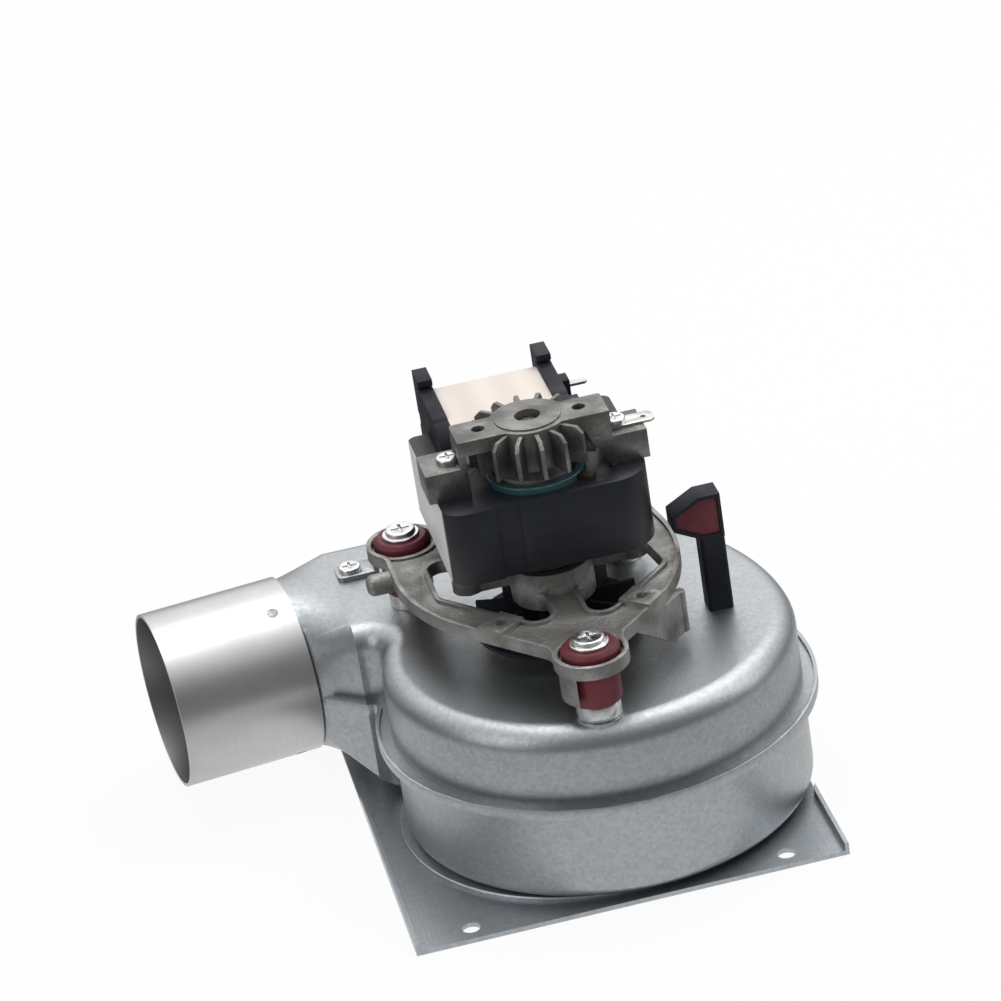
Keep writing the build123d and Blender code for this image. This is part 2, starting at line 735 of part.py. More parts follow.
def rotor_shaft():
    shaft = cyl(SHAFT_R, SHAFT_BOTTOM, SHAFT_TOP)
    return chamfer(shaft.edges().filter_by(GeomType.CIRCLE), 0.4)


def rotor_core():
    """Sheet-steel rotor stack on the shaft."""
    return tube(ROTOR_R, SHAFT_R + RUN_FIT, STACK_BOTTOM, STACK_TOP)


def rotor_end_rings():
    low = tube(ROTOR_R, END_RING_BORE, STACK_BOTTOM - END_RING_T, STACK_BOTTOM)
    top = tube(ROTOR_R, END_RING_BORE, STACK_TOP, STACK_TOP + END_RING_T)
    return [low, top]


def thrust_washers():
    """Fibre washers on the shaft between rotor and bearings, with end play."""
    low = LOWER_BEARING_Z + BEARING_HALF + RETAINER_T + FACE_GAP
    top = UPPER_BEARING_Z - BEARING_HALF - RETAINER_T - FACE_GAP
    bore = SHAFT_R + RUN_FIT
    return [tube(WASHER_R, bore, low, low + WASHER_T), tube(WASHER_R, bore, top - WASHER_T, top)]


def bearing(z):
    """Self-aligning sleeve bearing: ball with flat ends and a running bore."""
    ball = Pos(0, 0, z) * Sphere(BEARING_R)
    ball &= cyl(BEARING_R + 1, z - BEARING_HALF, z + BEARING_HALF)
    return ball - cyl(SHAFT_R + RUN_FIT, z - BEARING_R, z + BEARING_R)


def felt_rings():
    """Oil felts round both bearings."""
    return [tube(FELT_R, BEARING_R + FIT, z - FELT_HALF, z + FELT_HALF)
            for z in (LOWER_BEARING_Z, UPPER_BEARING_Z)]


def bearing_retainers():
    """Spring discs that hold the bearings in their pockets."""
    low = LOWER_BEARING_Z + BEARING_HALF
    top = UPPER_BEARING_Z - BEARING_HALF
    outer = POCKET_R - FIT
    return [tube(outer, RETAINER_BORE, low, low + RETAINER_T),
            tube(outer, RETAINER_BORE, top - RETAINER_T, top)]


def cooling_fan():
    """Moulded disc fan on the shaft between housing and motor."""
    fan = cyl(COOLER_R, COOLER_Z, COOLER_Z + COOLER_T)
    fan += cyl(COOLER_HUB_R, COOLER_Z, COOLER_HUB_TOP)
    inner = COOLER_HUB_R - 1
    vane = block(inner, COOLER_R - 1, -COOLER_T / 2, COOLER_T / 2, COOLER_Z, COOLER_BLADE_TOP)
    for turn in range(COOLER_BLADES):
        fan += Rot(0, 0, 360 / COOLER_BLADES * turn) * vane
    return fan - cyl(SHAFT_R + RUN_FIT, COOLER_Z - 1, COOLER_HUB_TOP + 1)


def motor_screw_spots():
    return [(-MOTOR_SCREW_X, MOTOR_SCREW_Y), (MOTOR_SCREW_X, MOTOR_SCREW_Y)]


def shade_bars(gap):
    """Copper loops round part of each pole, grown by gap; two legs and two bars."""
    loops = []
    inner = RING_TEAL_BORE + FIT
    outer = inner + SHADE_SPAN
    half = SHADE_W / 2 + gap
    t = SHADE_T
    for angle in SHADE_ANGLES:
        loop = block(inner - gap, outer + gap, -half, half, STACK_BOTTOM - t - gap, STACK_TOP + t + gap)
        if gap == 0:
            loop -= block(inner + t, outer - t, -BIG, BIG, STACK_BOTTOM, STACK_TOP)
        loops.append(Rot(0, 0, angle) * loop)
    return loops


def shade_legs():
    """Slots in the stack for the legs of the copper loops."""
    legs = []
    inner = RING_TEAL_BORE + FIT
    outer = inner + SHADE_SPAN
    half = SHADE_W / 2 + FIT
    for angle in SHADE_ANGLES:
        for x0, x1 in ((inner, inner + SHADE_T), (outer - SHADE_T, outer)):
            leg = block(x0 - FIT, x1 + FIT, -half, half, STACK_BOTTOM - 1, STACK_TOP + 1)
            legs.append(Rot(0, 0, angle) * leg)
    return legs


def stator_stack():
    """Sheet-steel frame: rotor bore in front, window and coil leg behind."""
    stack = block(-STACK_HALF_W, STACK_HALF_W, STACK_FRONT, STACK_BACK, STACK_BOTTOM, STACK_TOP)
    upright = stack.edges().filter_by(Axis.Z)
    front = upright.sort_by(Axis.Y)[:2].sort_by(Axis.X)
    rounded = fillet(front[0], STACK_LEFT_R)
    right = rounded.edges().filter_by(Axis.Z).sort_by_distance((STACK_HALF_W, STACK_FRONT, STACK_MID))[0]
    rounded = fillet(right, STACK_RIGHT_R)
    back = rounded.edges().filter_by(Axis.Z).filter_by(lambda e: e.center().Y > STACK_BACK - 0.1)
    stack = fillet(back, STACK_BACK_R)
    stack -= cyl(STACK_BORE, STACK_BOTTOM - 1, STACK_TOP + 1)
    stack -= block(COIL_X - WINDOW_HALF_W, COIL_X + WINDOW_HALF_W, WINDOW_FRONT, LEG_FRONT,
                   STACK_BOTTOM - 1, STACK_TOP + 1)
    stack -= block(GROOVE_X - GROOVE_W / 2, GROOVE_X + GROOVE_W / 2, STACK_FRONT - 1,
                   STACK_FRONT + GROOVE_DEPTH, STACK_BOTTOM - 1, STACK_TOP + 1)
    for x, y in motor_screw_spots():
        stack -= cyl(MOTOR_SCREW_R + FIT, STACK_BOTTOM - 1, STACK_TOP + 1, x, y)
    for leg in shade_legs():
        stack -= leg
    return stack


def insulation_ring():
    """Ring on the stack's top round the rotor, notched over the copper loops."""
    ring = tube(RING_TEAL_R, RING_TEAL_BORE, STACK_TOP, STACK_TOP + RING_TEAL_T)
    ring = fillet(ring.edges().group_by(Axis.Z)[-1], 0.5)
    for loop in shade_bars(FACE_GAP):
        ring -= loop
    return ring - coil_prism(-FACE_GAP, -BIG, BIG)


def coil_prism(inset, x0, x1):
    """Rounded coil section inset from its outer face, from x0 to x1."""
    w = COIL_BACK - COIL_FRONT - 2 * inset
    h = COIL_TOP - COIL_BOTTOM - 2 * inset
    face = RectangleRounded(w, h, COIL_CORNER - inset)
    at = Plane(origin=(x0, (COIL_FRONT + COIL_BACK) / 2, (COIL_TOP + COIL_BOTTOM) / 2),
               x_dir=(0, 1, 0), z_dir=(1, 0, 0))
    return extrude(at * face, x1 - x0)


def leg_hole(grow, x0, x1):
    """Space of the coil leg, grown all round."""
    return block(x0, x1, LEG_FRONT - grow, STACK_BACK + grow, STACK_BOTTOM - grow, STACK_TOP + grow)


def coil_tape():
    """Cream wrapping round the winding."""
    w = COIL_HALF_W
    return Pos(COIL_X, 0, 0) * (coil_prism(0, -w, w) - coil_prism(TAPE_T, -w - 1, w + 1))


def coil_winding():
    """Copper winding between tape and bobbin tube."""
    w = COIL_HALF_W - FIT
    tube_face = FACE_GAP + BOBBIN_WALL + FIT
    return Pos(COIL_X, 0, 0) * (coil_prism(TAPE_T + FIT, -w, w) - leg_hole(tube_face, -w - 1, w + 1))


def coil_bobbin():
    """Bobbin tube on the coil leg with two flanges."""
    w = COIL_HALF_W
    bobbin = leg_hole(FACE_GAP + BOBBIN_WALL, -w, w)
    bobbin += bobbin_flange(-w - FLANGE_T, -w)
    bobbin += bobbin_flange(w, w + FLANGE_T)
    bobbin -= leg_hole(FACE_GAP, -BIG, BIG)
    x = w + FLANGE_T
    low = COIL_TOP - 1.5 * TERMINAL_DROP
    for y in terminal_rows():
        bobbin += block(x - 0.5, x + 3.5, y - TERMINAL_W, y + TERMINAL_W, low, low + TERMINAL_DROP)
        bobbin -= terminal_slot(y, FIT / 2)
    return Pos(COIL_X, 0, 0) * bobbin


def bobbin_flange(x0, x1):
    """End flange with a hooked ear on top and a notch behind."""
    flange = coil_prism(0, x0, x1)
    over = block(x0, x1, COIL_FRONT + COIL_CORNER, COIL_BACK + FLANGE_OVER,
                 COIL_BOTTOM - FLANGE_OVER / 2, COIL_TOP + FLANGE_OVER / 2)
    over = fillet(over.edges().filter_by(Axis.X), 3)
    front = COIL_BACK - EAR_W
    ear = block(x0, x1, front, COIL_BACK + FLANGE_OVER, COIL_TOP - EAR_ROOT, EAR_TOP)
    ear -= block(x0 - 1, x1 + 1, front - 1, front + HOOK_W, COIL_TOP + HOOK_RISE, EAR_TOP - HOOK_CAP)
    notch = COIL_TOP - NOTCH_DROP
    return flange + over + ear - block(x0 - 1, x1 + 1, COIL_BACK, BIG, notch - NOTCH_H, notch)


def terminal_rows():
    """Y positions of the two coil tabs."""
    middle = (COIL_FRONT + COIL_BACK) / 2
    return (middle - TERMINAL_SPREAD, middle + TERMINAL_SPREAD)


def terminal_slot(y, gap):
    """Space of one coil tab, grown by gap."""
    x = COIL_HALF_W + FLANGE_T
    half = TERMINAL_W / 2 + gap
    z = COIL_TOP - TERMINAL_DROP
    return block(x + 0.5 - gap, x + TERMINAL_L, y - half, y + half, z - gap, z + TERMINAL_T + gap)


def coil_terminals():
    """Two small flat tabs in the bobbin's right flange."""
    tabs = []
    for y in terminal_rows():
        tab = terminal_slot(y, 0)
        ends = tab.edges().filter_by(Axis.Z).sort_by(Axis.X)[-2:]
        tabs.append(Pos(COIL_X, 0, 0) * chamfer(ends, 0.7))
    return tabs


def upper_bracket():
    """Die-cast bearing bridge: hub with fins, cross arm, two feet on the stack."""
    hub = cyl(UPPER_HUB_R, UPPER_HUB_BOTTOM, UPPER_TOP)
    fin = block(UPPER_HUB_R - 1, FIN_R, -FIN_T / 2, FIN_T / 2, FIN_BOTTOM, FIN_TOP)
    slope = fin.edges().filter_by(Axis.Y).sort_by_distance((FIN_R, 0, FIN_TOP))[0]
    fin = chamfer(slope, FIN_DROP)
    bridge = hub
    for turn in range(FIN_COUNT):
        bridge += Rot(0, 0, 360 / FIN_COUNT * turn) * fin
    arm = block(-ARM_HALF_L, ARM_HALF_L, ARM_FRONT, ARM_BACK, UPPER_TOP - ARM_T, UPPER_TOP)
    arm = fillet(arm.edges().filter_by(Axis.Z), 1.0)
    bridge += arm
    for side in (-1, 1):
        leg = sorted((side * ARM_HALF_L, side * FOOT_IN))
        bridge += block(*leg, FOOT_FRONT, ARM_BACK, STACK_TOP, UPPER_TOP - ARM_T + 1)
        foot = sorted((side * FOOT_IN, side * FOOT_OUT))
        bridge += block(*foot, FOOT_FRONT, FOOT_BACK, STACK_TOP, FOOT_TOP)
    bridge -= coil_prism(-FACE_GAP, -BIG, BIG)
    bridge += gusset()
    bridge += cyl(DISC_R, UPPER_TOP, UPPER_TOP + DISC_H)
    bridge -= cyl(UPPER_HOLE_R, UPPER_HUB_BOTTOM, UPPER_TOP + 1)
    bridge -= cyl(POCKET_R, UPPER_HUB_BOTTOM - 1, UPPER_CEILING)
    for side in (-1, 1):
        bridge -= cyl(ARM_HOLE_R, UPPER_TOP - ARM_T - 1, UPPER_TOP + 1, side * ARM_HOLE_X, -1.0)
    for x, y in motor_screw_spots():
        bridge -= cyl(MOTOR_SCREW_R + FIT, STACK_TOP - 1, FOOT_TOP + 1, x, y)
        bridge -= cyl(MOTOR_HEAD_R + 1, FOOT_TOP, UPPER_TOP - ARM_T - 0.5, x, y)
    return bridge


def gusset():
    """Thin web down the front of the right leg."""
    x1 = ARM_HALF_L
    web = Polyline((x1, UPPER_TOP), (x1, STACK_TOP), (x1 - GUSSET_TIP, STACK_TOP),
                   (x1 - GUSSET_STEP, UPPER_TOP - GUSSET_DROP), (x1 - GUSSET_W, UPPER_TOP), close=True)
    face = Plane.XZ * make_face(web)
    return Pos(0, ARM_FRONT + GUSSET_T, 0) * extrude(face, GUSSET_T)


def motor_screws():
    """Two screws through feet, stack and posts; the right one also holds the earth tab."""
    solids = []
    for x, y in motor_screw_spots():
        seat = FOOT_TOP + (TAB_T if x > 0 else 0)
        head = cyl(MOTOR_HEAD_R, seat, seat + MOTOR_HEAD_H, x, y)
        head = fillet(head.edges().sort_by(Axis.Z)[-1], 0.8)
        head -= cross_recess(x, y, MOTOR_HEAD_R * 0.65, seat + MOTOR_HEAD_H * 0.6)
        solids.append(head + cyl(MOTOR_SCREW_R, BAR_BOTTOM - 1.5, seat, x, y))
    return solids


def earth_tab():
    """Flat blade terminal, its forked end under the right motor screw."""
    x0 = ARM_HALF_L + FACE_GAP
    y = MOTOR_SCREW_Y
    tab = block(x0, TAB_END, y - TAB_W / 2, y + TAB_W / 2, FOOT_TOP, FOOT_TOP + TAB_T)
    tab = chamfer(tab.edges().filter_by(Axis.Z).sort_by(Axis.X)[-2:], 1.2)
    slot = MOTOR_SCREW_R + FIT
    tab -= cyl(slot, FOOT_TOP - 1, FOOT_TOP + 2, MOTOR_SCREW_X, y)
    tab -= block(x0 - 1, MOTOR_SCREW_X, y - slot, y + slot, FOOT_TOP - 1, FOOT_TOP + 2)
    return tab - cyl(TAB_HOLE_R, FOOT_TOP - 1, FOOT_TOP + 2, TAB_END - TAB_HOLE_INSET, y)


def lug_angle(lug):
    return degrees(atan2(lug[1], lug[0]))


def arm_face(lug, width, reach):
    """Flat bar from the fan axis towards a lug."""
    return Rot(0, 0, lug_angle(lug)) * Pos(reach / 2, 0, 0) * Rectangle(reach, width)


def rim_corners():
    """Plan corners of the rim, anticlockwise from the left back one."""
    return [(-RIM_LEFT, RIM_BACK), (-RIM_LEFT, KNEE_LEFT), (-RIM_NOSE, RIM_FRONT),
            (RIM_NOSE, RIM_FRONT), (RIM_RIGHT, KNEE_RIGHT), (RIM_BACK_RIGHT, RIM_BACK)]


def on_rim(side, share):
    """Place on one side of the rim: X along it, Y inwards from its edge."""
    corners = rim_corners()
    x0, y0 = corners[side]
    x1, y1 = corners[(side + 1) % len(corners)]
    turn = degrees(atan2(y1 - y0, x1 - x0))
    return Pos(x0 + (x1 - x0) * share, y0 + (y1 - y0) * share, 0) * Rot(0, 0, turn)


def spider_outline():
    """Outer plan of the spider: the rim's sides running into the three lugs."""
    rim = make_face(Polyline(*rim_corners(), close=True))
    knees = [rim.vertices().sort_by_distance((*rim_corners()[i], 0))[0] for i in (1, 4)]
    face = fillet(knees, RIM_CORNER)
    for lug in LUGS:
        face += Pos(*lug) * Circle(LUG_R)
    joints = []
    for x, y in LUGS:
        joints += face.vertices().filter_by(lambda v: abs(sqrt((v.X - x) ** 2 + (v.Y - y) ** 2) - LUG_R) < 0.01)
    return fillet(joints, LUG_FILLET)


def spider_openings():
    """The openings between rim, hub, spokes and lugs, their corners rounded."""
    rim = make_face(Polyline(*rim_corners(), close=True))
    inside = offset(rim, -RIM_W, kind=Kind.INTERSECTION)
    inside -= Circle(LOWER_HUB_R)
    for lug in LUGS:
        inside -= arm_face(lug, SPOKE_W, BIG / 2)
        inside -= Pos(*lug) * Circle(LUG_R)
    shrunk = [offset(face, -OPENING_CORNER, kind=Kind.INTERSECTION) for face in inside.faces()]
    return [offset(face, OPENING_CORNER) for face in shrunk]


def lower_bracket():
    """Die-cast spider under the motor: rim, spokes, lugs, hub, posts, pads, stub and skirt."""
    spider = slab(spider_outline(), LUG_BOTTOM, RIM_TOP)
    ribs = slab(spider_outline(), RIM_TOP, RIM_TOP + RIB_H)
    ribs -= slab(offset(spider_outline(), -RIB_W), RIM_TOP - 1, BIG)
    for opening in spider_openings():
        edge = offset(opening, RIB_W)
        ribs += slab(edge - opening, RIM_TOP, RIM_TOP + RIB_H)
    spider += ribs
    for opening in spider_openings():
        spider -= slab(opening, 0, BIG)
    for lug in LUGS:
        spider += cyl(LUG_R, LUG_BOTTOM, LUG_TOP, *lug)
    spider += motor_seat()
    for place in pad_places():
        spider += place * block(-PAD_L / 2, PAD_L / 2, 0, RIM_W, LUG_BOTTOM, RIM_TOP + PAD_H)
    stub = pin_x(STUB_R, -RIM_LEFT - STUB_OUT, -RIM_LEFT + RIM_W, STUB_Y, STUB_Z)
    spider += fillet(stub.edges().filter_by(GeomType.CIRCLE).sort_by(Axis.X)[0], STUB_ROUND)
    spider += skirt() + half_sleeve()
    for lug in LUGS:
        spider -= cyl(LUG_BORE, LUG_BOTTOM + LUG_FLOOR, BIG, *lug)
        spider -= cyl(LUG_HOLE, LUG_BOTTOM - 1, BIG, *lug)
    spider -= cyl(POCKET_R, LOWER_FLOOR, BIG)
    spider -= cyl(RETAINER_BORE, 0, BIG)
    for x, y in motor_screw_spots():
        spider -= cyl(MOTOR_SCREW_R + FIT, 0, BIG, x, y)
    for place in pad_places():
        spider -= place * cyl(PAD_HOLE_R, RIM_TOP + PAD_H - PAD_HOLE_DEPTH, BIG, 0, RIM_W / 2)
    return spider


def pad_places():
    """The screw pads: one on each front side of the rim, one on its back side."""
    shares = {1: PAD_LEFT_SHARE, 3: PAD_RIGHT_SHARE, 5: PAD_BACK_SHARE}
    return [on_rim(side, share) for side, share in shares.items()]


def motor_seat():
    """Hub for the lower bearing, cross bar and the two posts that carry the stack."""
    seat = cyl(LOWER_HUB_R, LOWER_HUB_BOTTOM, LOWER_HUB_TOP)
    seat += block(-MOTOR_SCREW_X, MOTOR_SCREW_X, MOTOR_SCREW_Y - BAR_W / 2,
                  MOTOR_SCREW_Y + BAR_W / 2, BAR_BOTTOM, BAR_TOP)
    for x, y in motor_screw_spots():
        seat += cyl(POST_R, BAR_BOTTOM, STACK_BOTTOM, x, y)
    return seat


def half_sleeve():
    """Half sleeve hanging under the front lug, beside its buffer."""
    x, y = LUGS[1]
    sleeve = tube(LUG_R - 1, LUG_R - 1 - HALF_SLEEVE_T, HALF_SLEEVE_BOTTOM, LUG_BOTTOM, x, y)
    return sleeve & block(x - LUG_R, x - HALF_SLEEVE_CUT, y - LUG_R, y + LUG_R, 0, BIG)


def skirt():
    """Web under the rim's front right side, its left edge sloping, its right edge a bead."""
    (x0, y0), (x1, y1) = rim_corners()[3:5]
    long_way = sqrt((x1 - x0) ** 2 + (y1 - y0) ** 2)
    start, end = long_way * SKIRT_FROM, long_way * SKIRT_TO
    outline = Polyline((start, LUG_BOTTOM), (start + SKIRT_SLOPE, SKIRT_BOTTOM), (end, SKIRT_BOTTOM),
                       (end, LUG_BOTTOM), close=True)
    web = Pos(0, SKIRT_T, 0) * extrude(Plane.XZ * make_face(outline), SKIRT_T)
    bead = cyl(SKIRT_BEAD_R, SKIRT_BOTTOM, LUG_BOTTOM, end, SKIRT_T / 2)
    return on_rim(3, 0) * (web + bead)


def grommets():
    """Silicone buffers buttoned into the lugs."""
    neck = LUG_HOLE - FIT
    floor = LUG_BOTTOM + LUG_FLOOR
    low = HOUSING_TOP + SLEEVE_BASE_H
    points = [
        (SLEEVE_R + FIT, low), (GROMMET_BODY_R - 0.8, low), (GROMMET_BODY_R, low + 0.8),
        (GROMMET_BODY_R, LUG_BOTTOM), (neck, LUG_BOTTOM), (neck, floor), (GROMMET_COLLAR_R, floor),
        (GROMMET_COLLAR_R, GROMMET_TOP - 1.2), (GROMMET_COLLAR_R - 1.2, GROMMET_TOP),
        (SLEEVE_R + FIT, GROMMET_TOP),
    ]
    return [turned(points, x, y) for x, y in LUGS]


def grommet_spacers():
    """Steel sleeves: base on the housing, tube up through the buffer."""
    solids = []
    for x, y in LUGS:
        sleeve = cyl(SLEEVE_BASE_R, HOUSING_TOP, HOUSING_TOP + SLEEVE_BASE_H, x, y)
        sleeve += cyl(SLEEVE_R, HOUSING_TOP, GROMMET_TOP, x, y)
        solids.append(sleeve - cyl(SCREW_R + FACE_GAP, HOUSING_TOP - 1, GROMMET_TOP + 1, x, y))
    return solids


def mount_screws():
    """Washer-head screws that clamp the sleeves to the housing."""
    solids = []
    tip = HOUSING_TOP - SHEET - NUT_H - SCREW_TIP
    for x, y in LUGS:
        washer = cyl(SCREW_HEAD_R, GROMMET_TOP, GROMMET_TOP + SCREW_WASHER_H, x, y)
        washer = chamfer(washer.edges().sort_by(Axis.Z)[-1], 0.3)
        cap = cyl(SCREW_CAP_R, GROMMET_TOP, GROMMET_TOP + SCREW_HEAD_H, x, y)
        cap = fillet(cap.edges().sort_by(Axis.Z)[-1], 0.7)
        screw = washer + cap
        screw -= cross_recess(x, y, SCREW_CAP_R * 0.6, GROMMET_TOP + SCREW_HEAD_H / 2)
        solids.append(screw + cyl(SCREW_R, tip, GROMMET_TOP, x, y))
    return solids


def weld_nuts():
    """Round nuts welded under the housing top."""
    top = HOUSING_TOP - SHEET
    return [tube(NUT_R, SCREW_R + FIT / 2, top - NUT_H, top, x, y) for x, y in LUGS]


def post_plan():
    """Plan of the post's shaft."""
    return Pos(POST_X, POST_Y, 0) * RectangleRounded(POST_W, POST_D, POST_WALL)


def post_head(inset):
    """Six-sided plan of the head seen from the front, flared to the left, inset all round."""
    x1 = POST_X + POST_W / 2
    x0 = x1 - POST_HEAD_W
    shoulder = x1 - POST_HEAD_TOP_W
    outline = Polyline((x1, POST_HEAD), (x1, POST_TOP), (shoulder, POST_TOP), (x0, POST_TOP - POST_HEAD_DROP),
                       (x0, POST_HEAD + POST_HEAD_LIFT), (shoulder, POST_HEAD), close=True)
    face = make_face(outline)
    return Plane.XZ * (offset(face, -inset, kind=Kind.INTERSECTION) if inset else face)


def tap_post():
    """Black hollow post on the housing, its head open to the front."""
    post = slab(post_plan(), HOUSING_TOP, POST_HEAD + 1)
    post += Pos(0, POST_Y + POST_D / 2, 0) * extrude(post_head(0), POST_D)
    post -= plug_space(POST_WALL, POST_Y - POST_D / 2 - 1)
    post -= cyl(POST_BORE, HOUSING_TOP - 1, POST_HEAD + 2, POST_X, POST_Y)
    nub = Pos(POST_X + POST_W / 4, POST_Y + (POST_D + NUB_L) / 2, POST_HEAD - 6)
    return post + nub * Rot(90, 0, 0) * Cylinder(NUB_R, NUB_L)


def plug_space(inset, front):
    """Inside of the post's head from its pocket floor forwards to front."""
    floor = POST_Y - POST_D / 2 + POST_SEAT
    return Pos(0, floor, 0) * extrude(post_head(inset), floor - front)


def tap_plug():
    """Silicone filling of the pocket, a little below its edge."""
    return plug_space(POST_WALL + FIT, POST_Y - POST_D / 2 + PLUG_SINK)


def clip_tab():
    """Small bent tab on the housing top."""
    x0 = CLIP_X - CLIP_W / 2
    x1 = x0 + CLIP_L
    tab = block(x0, x1, CLIP_Y - CLIP_W / 2, CLIP_Y + CLIP_W / 2, HOUSING_TOP, HOUSING_TOP + CLIP_T)
    tab += block(x1 - CLIP_T, x1, CLIP_Y - CLIP_W / 2, CLIP_Y + CLIP_W / 2, HOUSING_TOP, HOUSING_TOP + CLIP_H)
    tab = fillet(tab.edges().filter_by(Axis.Z).sort_by(Axis.X)[:2], 2)
    return tab - cyl(CLIP_SCREW_R + FIT, HOUSING_TOP - 1, HOUSING_TOP + 5, CLIP_X, CLIP_Y)


def clip_screw():
    z = HOUSING_TOP + CLIP_T
    head = cyl(CLIP_HEAD_R, z, z + CLIP_HEAD_H, CLIP_X, CLIP_Y)
    head = fillet(head.edges().sort_by(Axis.Z)[-1], 0.6)
    head -= cross_recess(CLIP_X, CLIP_Y, CLIP_HEAD_R * 0.65, z + CLIP_HEAD_H * 0.55)
    return head + cyl(CLIP_SCREW_R, HOUSING_TOP - 4, z, CLIP_X, CLIP_Y)


save("mounting_plate", mounting_plate())
save("lower_shell", lower_shell())
save("upper_shell", upper_shell())
save("outlet_pipe", outlet_pipe())
save("pipe_rivets", *pipe_rivets())
save("plate_screws", *plate_screws())
save("impeller_blades", *impeller_blades())
save("impeller_disc", impeller_disc())
save("impeller_ring", impeller_ring())
save("impeller_hub", impeller_hub())
save("hub_grub_screw", hub_grub_screw())
save("rotor_shaft", rotor_shaft())
save("rotor_core", rotor_core())
save("rotor_end_rings", *rotor_end_rings())
save("thrust_washers", *thrust_washers())
save("lower_bearing", bearing(LOWER_BEARING_Z))
save("upper_bearing", bearing(UPPER_BEARING_Z))
save("felt_rings", *felt_rings())
save("bearing_retainers", *bearing_retainers())
save("cooling_fan", cooling_fan())
save("stator_stack", stator_stack())
save("shading_rings", *shade_bars(0))
save("insulation_ring", insulation_ring())
save("coil_tape", coil_tape())
save("coil_winding", coil_winding())
save("coil_bobbin", coil_bobbin())
save("coil_terminals", *coil_terminals())
save("upper_bracket", upper_bracket())
save("motor_screws", *motor_screws())
save("earth_tab", earth_tab())
save("lower_bracket", lower_bracket())
save("grommets", *grommets())
save("grommet_spacers", *grommet_spacers())
save("mount_screws", *mount_screws())
save("weld_nuts", *weld_nuts())
save("tap_post", tap_post())
save("tap_plug", tap_plug())
save("clip_tab", clip_tab())
save("clip_screw", clip_screw())
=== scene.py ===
import bpy
from math import radians
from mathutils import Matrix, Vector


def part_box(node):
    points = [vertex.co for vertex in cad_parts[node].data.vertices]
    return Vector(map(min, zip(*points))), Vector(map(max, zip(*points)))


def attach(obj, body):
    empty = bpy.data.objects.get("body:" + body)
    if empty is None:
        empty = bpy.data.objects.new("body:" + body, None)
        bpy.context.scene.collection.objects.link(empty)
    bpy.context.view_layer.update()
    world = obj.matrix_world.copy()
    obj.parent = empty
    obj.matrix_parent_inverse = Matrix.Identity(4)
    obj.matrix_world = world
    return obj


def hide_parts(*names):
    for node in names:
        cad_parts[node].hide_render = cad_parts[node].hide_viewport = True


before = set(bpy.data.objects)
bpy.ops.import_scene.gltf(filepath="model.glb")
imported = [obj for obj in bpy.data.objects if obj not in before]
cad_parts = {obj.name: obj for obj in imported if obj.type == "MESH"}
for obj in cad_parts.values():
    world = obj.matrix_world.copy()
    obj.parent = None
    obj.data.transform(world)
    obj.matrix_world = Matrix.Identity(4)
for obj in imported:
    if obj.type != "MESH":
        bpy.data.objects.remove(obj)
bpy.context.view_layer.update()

# Camera: a long lens about 1.3 m away, looking down on the fan from the front left. From there
# the near edge of the plate is only a little larger than the far one.
camera_data = bpy.data.cameras.new("long_lens")
camera_data.sensor_width = 36.0
camera_data.lens = 158.1
camera_data.clip_start = 0.05
camera_data.clip_end = 30.0
camera = bpy.data.objects.new("camera", camera_data)
camera.location = (-0.16802, -1.13377, 0.67858)
camera.rotation_euler = (radians(63.143), radians(8.123), radians(-11.948))
bpy.context.collection.objects.link(camera)
bpy.context.scene.camera = camera

# Studio: a soft ceiling of light, a fill from the left and a strip on the right. Bare metal
# mirrors a room that is bright above and behind, and a pale floor that dims with distance.
scene = bpy.context.scene
scene.view_settings.view_transform = "Standard"


def soft_lamp(name, place, turn, size, power):
    """Rectangular lamp: place and size in metres, turn in degrees, power in watts."""
    lamp = bpy.data.lights.new(name, "AREA")
    lamp.shape = "RECTANGLE"
    lamp.size, lamp.size_y = size
    lamp.energy = power
    lamp_object = bpy.data.objects.new(name, lamp)
    lamp_object.location = place
    lamp_object.rotation_euler = [radians(a) for a in turn]
    bpy.context.collection.objects.link(lamp_object)


def add_node(tree, kind, feeds=None, **settings):
    """Adds a shader node. Each socket is fed by a plain value or by another node's output."""
    node = tree.nodes.new("ShaderNode" + kind)
    for setting, value in settings.items():
        setattr(node, setting, value)
    for socket, feed in (feeds or {}).items():
        if isinstance(feed, bpy.types.NodeSocket):
            tree.links.new(feed, node.inputs[socket])
        else:
            node.inputs[socket].default_value = feed
    return node


def maths(tree, operation, first, second, **settings):
    """Result of one operation on two values."""
    return add_node(tree, "Math", {0: first, 1: second}, operation=operation, **settings).outputs[0]


def ranged(tree, value, before=(0.0, 1.0), after=(0.0, 1.0)):
    """Value carried from one range to another, and held within the second."""
    feeds = {"Value": value, "From Min": before[0], "From Max": before[1],
             "To Min": after[0], "To Max": after[1]}
    return add_node(tree, "MapRange", feeds).outputs["Result"]


def shown_share(tree, rays, camera_share):
    """How much of a bright backdrop a ray meets: all of it by gloss or glass, none by other light."""
    by_camera = maths(tree, "MULTIPLY", rays.outputs["Is Camera Ray"], camera_share)
    by_gloss = maths(tree, "MAXIMUM", by_camera, rays.outputs["Is Glossy Ray"])
    return maths(tree, "MAXIMUM", by_gloss, rays.outputs["Is Transmission Ray"])


def backdrop(tree, rays, camera_share, lighting, shown, output):
    """Lets one shader light the object while gloss, glass and the camera meet the other."""
    mix = add_node(tree, "MixShader", {"Fac": shown_share(tree, rays, camera_share),
                                       1: lighting.outputs[0], 2: shown.outputs[0]})
    add_node(tree, output, {"Surface": mix.outputs[0]})


